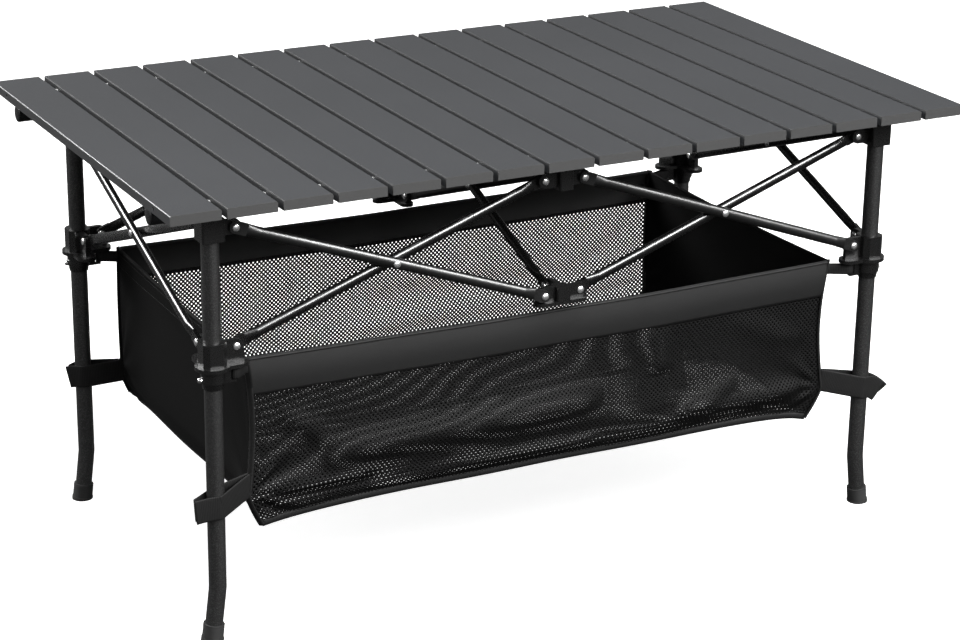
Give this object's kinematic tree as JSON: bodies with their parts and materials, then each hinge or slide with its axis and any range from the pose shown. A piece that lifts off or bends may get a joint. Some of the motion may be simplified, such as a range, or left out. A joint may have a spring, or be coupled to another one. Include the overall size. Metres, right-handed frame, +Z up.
{
  "type": "folding camp kitchen table",
  "caption": "Folding camp table: roll-up slatted metal top on two rails, scissor-braced tube frame, four kinked legs with rubber feet, and a hanging mesh storage basket.",
  "frame": {"origin": "on the floor under the middle of the table", "axes": "+X to the right along the table's length, +Y to the rear, +Z up"},
  "size_m": [0.95, 0.55, 0.5],
  "materials": {
    "top_powder_coat": "satin",
    "leg_powder_coat": "hammered satin",
    "strut_gloss": "gloss",
    "bracket_plastic": "semi-gloss",
    "foot_rubber": "matte",
    "button_steel": "polished",
    "basket_fabric": "woven",
    "strap_webbing": "woven",
    "elastic_cord": "braided",
    "rail_tube": "satin"
  },
  "bodies": {
    "leg_front_left": {"leg_front_left": "leg_powder_coat", "foot_front_left": "foot_rubber", "corner_bracket_front_left": "bracket_plastic", "basket": "basket_fabric", "basket_straps": "strap_webbing"},
    "strut_front_left_a": {"strut_front_left_a": "strut_gloss"},
    "strut_front_left_b": {"strut_front_left_b": "strut_gloss"},
    "slider_front_left": {"slider_front_left": "bracket_plastic"},
    "centre_bracket_top_front": {"centre_bracket_top_front": "bracket_plastic"},
    "centre_bracket_low_front": {"centre_bracket_low_front": "bracket_plastic"},
    "strut_front_right_a": {"strut_front_right_a": "strut_gloss"},
    "strut_front_right_b": {"strut_front_right_b": "strut_gloss"},
    "slider_front_right": {"slider_front_right": "bracket_plastic"},
    "leg_front_right": {"leg_front_right": "leg_powder_coat", "foot_front_right": "foot_rubber", "corner_bracket_front_right": "bracket_plastic"},
    "strut_left_end_a": {"strut_left_end_a": "strut_gloss"},
    "strut_left_end_b": {"strut_left_end_b": "strut_gloss"},
    "leg_rear_left": {"leg_rear_left": "leg_powder_coat", "foot_rear_left": "foot_rubber", "corner_bracket_rear_left": "bracket_plastic"},
    "strut_rear_left_a": {"strut_rear_left_a": "strut_gloss"},
    "strut_rear_left_b": {"strut_rear_left_b": "strut_gloss"},
    "slider_rear_left": {"slider_rear_left": "bracket_plastic"},
    "centre_bracket_top_rear": {"centre_bracket_top_rear": "bracket_plastic"},
    "centre_bracket_low_rear": {"centre_bracket_low_rear": "bracket_plastic"},
    "strut_rear_right_a": {"strut_rear_right_a": "strut_gloss"},
    "strut_rear_right_b": {"strut_rear_right_b": "strut_gloss"},
    "slider_rear_right": {"slider_rear_right": "bracket_plastic"},
    "leg_rear_right": {"leg_rear_right": "leg_powder_coat", "foot_rear_right": "foot_rubber", "corner_bracket_rear_right": "bracket_plastic"},
    "strut_centre_a": {"strut_centre_a": "strut_gloss"},
    "strut_centre_b": {"strut_centre_b": "strut_gloss"},
    "strut_right_end_a": {"strut_right_end_a": "strut_gloss"},
    "strut_right_end_b": {"strut_right_end_b": "strut_gloss"},
    "button_front_left": {"button_front_left": "button_steel"},
    "button_front_right": {"button_front_right": "button_steel"},
    "button_rear_left": {"button_rear_left": "button_steel"},
    "button_rear_right": {"button_rear_right": "button_steel"},
    "rails": {"rail_front": "rail_tube", "rail_rear": "rail_tube"},
    "slat_01": {"slat_01": "top_powder_coat", "elastic_cord_front": "elastic_cord", "elastic_cord_rear": "elastic_cord"},
    "slat_02": {"slat_02": "top_powder_coat"},
    "slat_03": {"slat_03": "top_powder_coat"},
    "slat_04": {"slat_04": "top_powder_coat"},
    "slat_05": {"slat_05": "top_powder_coat"},
    "slat_06": {"slat_06": "top_powder_coat"},
    "slat_07": {"slat_07": "top_powder_coat"},
    "slat_08": {"slat_08": "top_powder_coat"},
    "slat_09": {"slat_09": "top_powder_coat"},
    "slat_10": {"slat_10": "top_powder_coat"},
    "slat_11": {"slat_11": "top_powder_coat"},
    "slat_12": {"slat_12": "top_powder_coat"},
    "slat_13": {"slat_13": "top_powder_coat"},
    "slat_14": {"slat_14": "top_powder_coat"},
    "slat_15": {"slat_15": "top_powder_coat"},
    "slat_16": {"slat_16": "top_powder_coat"}
  },
  "joints": [
    {"name": "frame_fold", "type": "hinge", "parent": "leg_front_left", "child": "strut_front_left_a", "pos_m": [-0.381, -0.205, 0.457], "axis": [0, 1, 0], "range_deg": [0, 47], "deforming": ["basket", "basket_straps"]},
    {"name": "front_left_cross", "type": "hinge", "parent": "strut_front_left_a", "child": "strut_front_left_b", "pos_m": [-0.202, -0.205, 0.3925], "axis": [0, 1, 0], "range_deg": [-94, 0]},
    {"name": "slider_front_left_pivot", "type": "hinge", "parent": "strut_front_left_b", "child": "slider_front_left", "pos_m": [-0.381, -0.205, 0.328], "axis": [0, 1, 0], "range_deg": [0, 47]},
    {"name": "centre_top_front_pivot", "type": "hinge", "parent": "strut_front_left_b", "child": "centre_bracket_top_front", "pos_m": [-0.023, -0.205, 0.457], "axis": [0, 1, 0], "range_deg": [0, 47]},
    {"name": "centre_low_front_pivot", "type": "hinge", "parent": "strut_front_left_a", "child": "centre_bracket_low_front", "pos_m": [-0.023, -0.205, 0.328], "axis": [0, 1, 0], "range_deg": [-47, 0]},
    {"name": "front_right_pivot", "type": "hinge", "parent": "centre_bracket_top_front", "child": "strut_front_right_a", "pos_m": [0.023, -0.205, 0.457], "axis": [0, 1, 0], "range_deg": [0, 47]},
    {"name": "front_right_cross", "type": "hinge", "parent": "strut_front_right_a", "child": "strut_front_right_b", "pos_m": [0.202, -0.205, 0.3925], "axis": [0, 1, 0], "range_deg": [-94, 0]},
    {"name": "slider_front_right_pivot", "type": "hinge", "parent": "strut_front_right_a", "child": "slider_front_right", "pos_m": [0.381, -0.205, 0.328], "axis": [0, 1, 0], "range_deg": [-47, 0]},
    {"name": "leg_front_right_pivot", "type": "hinge", "parent": "strut_front_right_b", "child": "leg_front_right", "pos_m": [0.381, -0.205, 0.457], "axis": [0, 1, 0], "range_deg": [0, 47]},
    {"name": "left_end_pivot", "type": "hinge", "parent": "leg_front_left", "child": "strut_left_end_a", "pos_m": [-0.407, -0.179, 0.457], "axis": [-1, 0, 0], "range_deg": [0, 47]},
    {"name": "left_end_cross", "type": "hinge", "parent": "strut_left_end_a", "child": "strut_left_end_b", "pos_m": [-0.407, 0, 0.3925], "axis": [-1, 0, 0], "range_deg": [-94, 0]},
    {"name": "leg_rear_left_pivot", "type": "hinge", "parent": "strut_left_end_b", "child": "leg_rear_left", "pos_m": [-0.407, 0.179, 0.457], "axis": [-1, 0, 0], "range_deg": [0, 47]},
    {"name": "rear_left_pivot", "type": "hinge", "parent": "leg_rear_left", "child": "strut_rear_left_a", "pos_m": [-0.381, 0.205, 0.457], "axis": [0, 1, 0], "range_deg": [0, 47]},
    {"name": "rear_left_cross", "type": "hinge", "parent": "strut_rear_left_a", "child": "strut_rear_left_b", "pos_m": [-0.202, 0.205, 0.3925], "axis": [0, 1, 0], "range_deg": [-94, 0]},
    {"name": "slider_rear_left_pivot", "type": "hinge", "parent": "strut_rear_left_b", "child": "slider_rear_left", "pos_m": [-0.381, 0.205, 0.328], "axis": [0, 1, 0], "range_deg": [0, 47]},
    {"name": "centre_top_rear_pivot", "type": "hinge", "parent": "strut_rear_left_b", "child": "centre_bracket_top_rear", "pos_m": [-0.023, 0.205, 0.457], "axis": [0, 1, 0], "range_deg": [0, 47]},
    {"name": "centre_low_rear_pivot", "type": "hinge", "parent": "strut_rear_left_a", "child": "centre_bracket_low_rear", "pos_m": [-0.023, 0.205, 0.328], "axis": [0, 1, 0], "range_deg": [-47, 0]},
    {"name": "rear_right_pivot", "type": "hinge", "parent": "centre_bracket_top_rear", "child": "strut_rear_right_a", "pos_m": [0.023, 0.205, 0.457], "axis": [0, 1, 0], "range_deg": [0, 47]},
    {"name": "rear_right_cross", "type": "hinge", "parent": "strut_rear_right_a", "child": "strut_rear_right_b", "pos_m": [0.202, 0.205, 0.3925], "axis": [0, 1, 0], "range_deg": [-94, 0]},
    {"name": "slider_rear_right_pivot", "type": "hinge", "parent": "strut_rear_right_a", "child": "slider_rear_right", "pos_m": [0.381, 0.205, 0.328], "axis": [0, 1, 0], "range_deg": [-47, 0]},
    {"name": "leg_rear_right_pivot", "type": "hinge", "parent": "strut_rear_right_b", "child": "leg_rear_right", "pos_m": [0.381, 0.205, 0.457], "axis": [0, 1, 0], "range_deg": [0, 47]},
    {"name": "centre_pivot", "type": "hinge", "parent": "centre_bracket_top_front", "child": "strut_centre_a", "pos_m": [0, -0.179, 0.457], "axis": [-1, 0, 0], "range_deg": [0, 47]},
    {"name": "centre_cross", "type": "hinge", "parent": "strut_centre_a", "child": "strut_centre_b", "pos_m": [0, 0, 0.3925], "axis": [-1, 0, 0], "range_deg": [-94, 0]},
    {"name": "right_end_pivot", "type": "hinge", "parent": "leg_front_right", "child": "strut_right_end_a", "pos_m": [0.407, -0.179, 0.457], "axis": [-1, 0, 0], "range_deg": [0, 47]},
    {"name": "right_end_cross", "type": "hinge", "parent": "strut_right_end_a", "child": "strut_right_end_b", "pos_m": [0.407, 0, 0.3925], "axis": [-1, 0, 0], "range_deg": [-94, 0]},
    {"name": "button_front_left_pull", "type": "slide", "parent": "slider_front_left", "child": "button_front_left", "axis": [-1, 0, 0], "range_m": [0, 0.004], "stiffness_N_per_m": 400, "springref_m": -0.002},
    {"name": "button_front_right_pull", "type": "slide", "parent": "slider_front_right", "child": "button_front_right", "axis": [1, 0, 0], "range_m": [0, 0.004], "stiffness_N_per_m": 400, "springref_m": -0.002},
    {"name": "button_rear_left_pull", "type": "slide", "parent": "slider_rear_left", "child": "button_rear_left", "axis": [-1, 0, 0], "range_m": [0, 0.004], "stiffness_N_per_m": 400, "springref_m": -0.002},
    {"name": "button_rear_right_pull", "type": "slide", "parent": "slider_rear_right", "child": "button_rear_right", "axis": [1, 0, 0], "range_m": [0, 0.004], "stiffness_N_per_m": 400, "springref_m": -0.002},
    {"name": "rails_lift", "type": "slide", "parent": "leg_front_left", "child": "rails", "axis": [0, 0, 1], "range_m": [0, 0.05]},
    {"name": "tabletop_lift", "type": "slide", "parent": "rails", "child": "slat_01", "axis": [0, 0, 1], "range_m": [0, 0.2]},
    {"name": "roll_up", "type": "hinge", "parent": "slat_01", "child": "slat_02", "pos_m": [-0.41825, 0, 0.49475], "axis": [0, -1, 0], "range_deg": [0, 26], "deforming": ["elastic_cord_front", "elastic_cord_rear"]},
    {"name": "slat_hinge_02", "type": "hinge", "parent": "slat_02", "child": "slat_03", "pos_m": [-0.3585, 0, 0.49475], "axis": [0, -1, 0], "range_deg": [0, 28]},
    {"name": "slat_hinge_03", "type": "hinge", "parent": "slat_03", "child": "slat_04", "pos_m": [-0.29875, 0, 0.49475], "axis": [0, -1, 0], "range_deg": [0, 30]},
    {"name": "slat_hinge_04", "type": "hinge", "parent": "slat_04", "child": "slat_05", "pos_m": [-0.239, 0, 0.49475], "axis": [0, -1, 0], "range_deg": [0, 32]},
    {"name": "slat_hinge_05", "type": "hinge", "parent": "slat_05", "child": "slat_06", "pos_m": [-0.17925, 0, 0.49475], "axis": [0, -1, 0], "range_deg": [0, 34]},
    {"name": "slat_hinge_06", "type": "hinge", "parent": "slat_06", "child": "slat_07", "pos_m": [-0.1195, 0, 0.49475], "axis": [0, -1, 0], "range_deg": [0, 36]},
    {"name": "slat_hinge_07", "type": "hinge", "parent": "slat_07", "child": "slat_08", "pos_m": [-0.05975, 0, 0.49475], "axis": [0, -1, 0], "range_deg": [0, 38]},
    {"name": "slat_hinge_08", "type": "hinge", "parent": "slat_08", "child": "slat_09", "pos_m": [0, 0, 0.49475], "axis": [0, -1, 0], "range_deg": [0, 40]},
    {"name": "slat_hinge_09", "type": "hinge", "parent": "slat_09", "child": "slat_10", "pos_m": [0.05975, 0, 0.49475], "axis": [0, -1, 0], "range_deg": [0, 42]},
    {"name": "slat_hinge_10", "type": "hinge", "parent": "slat_10", "child": "slat_11", "pos_m": [0.1195, 0, 0.49475], "axis": [0, -1, 0], "range_deg": [0, 44]},
    {"name": "slat_hinge_11", "type": "hinge", "parent": "slat_11", "child": "slat_12", "pos_m": [0.17925, 0, 0.49475], "axis": [0, -1, 0], "range_deg": [0, 46]},
    {"name": "slat_hinge_12", "type": "hinge", "parent": "slat_12", "child": "slat_13", "pos_m": [0.239, 0, 0.49475], "axis": [0, -1, 0], "range_deg": [0, 48]},
    {"name": "slat_hinge_13", "type": "hinge", "parent": "slat_13", "child": "slat_14", "pos_m": [0.29875, 0, 0.49475], "axis": [0, -1, 0], "range_deg": [0, 50]},
    {"name": "slat_hinge_14", "type": "hinge", "parent": "slat_14", "child": "slat_15", "pos_m": [0.3585, 0, 0.49475], "axis": [0, -1, 0], "range_deg": [0, 52]},
    {"name": "slat_hinge_15", "type": "hinge", "parent": "slat_15", "child": "slat_16", "pos_m": [0.41825, 0, 0.49475], "axis": [0, -1, 0], "range_deg": [0, 54]}
  ],
  "couplings": [
    {"joint": "front_left_cross", "follows": "frame_fold", "ratio": -2},
    {"joint": "slider_front_left_pivot", "follows": "frame_fold", "ratio": 1},
    {"joint": "centre_top_front_pivot", "follows": "frame_fold", "ratio": 1},
    {"joint": "centre_low_front_pivot", "follows": "frame_fold", "ratio": -1},
    {"joint": "front_right_pivot", "follows": "frame_fold", "ratio": 1},
    {"joint": "front_right_cross", "follows": "frame_fold", "ratio": -2},
    {"joint": "slider_front_right_pivot", "follows": "frame_fold", "ratio": -1},
    {"joint": "leg_front_right_pivot", "follows": "frame_fold", "ratio": 1},
    {"joint": "left_end_pivot", "follows": "frame_fold", "ratio": 1},
    {"joint": "left_end_cross", "follows": "frame_fold", "ratio": -2},
    {"joint": "leg_rear_left_pivot", "follows": "frame_fold", "ratio": 1},
    {"joint": "rear_left_pivot", "follows": "frame_fold", "ratio": 1},
    {"joint": "rear_left_cross", "follows": "frame_fold", "ratio": -2},
    {"joint": "slider_rear_left_pivot", "follows": "frame_fold", "ratio": 1},
    {"joint": "centre_top_rear_pivot", "follows": "frame_fold", "ratio": 1},
    {"joint": "centre_low_rear_pivot", "follows": "frame_fold", "ratio": -1},
    {"joint": "rear_right_pivot", "follows": "frame_fold", "ratio": 1},
    {"joint": "rear_right_cross", "follows": "frame_fold", "ratio": -2},
    {"joint": "slider_rear_right_pivot", "follows": "frame_fold", "ratio": -1},
    {"joint": "leg_rear_right_pivot", "follows": "frame_fold", "ratio": 1},
    {"joint": "centre_pivot", "follows": "frame_fold", "ratio": 1},
    {"joint": "centre_cross", "follows": "frame_fold", "ratio": -2},
    {"joint": "right_end_pivot", "follows": "frame_fold", "ratio": 1},
    {"joint": "right_end_cross", "follows": "frame_fold", "ratio": -2},
    {"joint": "slat_hinge_02", "follows": "roll_up", "ratio": 1.0769},
    {"joint": "slat_hinge_03", "follows": "roll_up", "ratio": 1.1538},
    {"joint": "slat_hinge_04", "follows": "roll_up", "ratio": 1.2308},
    {"joint": "slat_hinge_05", "follows": "roll_up", "ratio": 1.3077},
    {"joint": "slat_hinge_06", "follows": "roll_up", "ratio": 1.3846},
    {"joint": "slat_hinge_07", "follows": "roll_up", "ratio": 1.4615},
    {"joint": "slat_hinge_08", "follows": "roll_up", "ratio": 1.5385},
    {"joint": "slat_hinge_09", "follows": "roll_up", "ratio": 1.6154},
    {"joint": "slat_hinge_10", "follows": "roll_up", "ratio": 1.6923},
    {"joint": "slat_hinge_11", "follows": "roll_up", "ratio": 1.7692},
    {"joint": "slat_hinge_12", "follows": "roll_up", "ratio": 1.8462},
    {"joint": "slat_hinge_13", "follows": "roll_up", "ratio": 1.9231},
    {"joint": "slat_hinge_14", "follows": "roll_up", "ratio": 2},
    {"joint": "slat_hinge_15", "follows": "roll_up", "ratio": 2.0769}
  ]
}
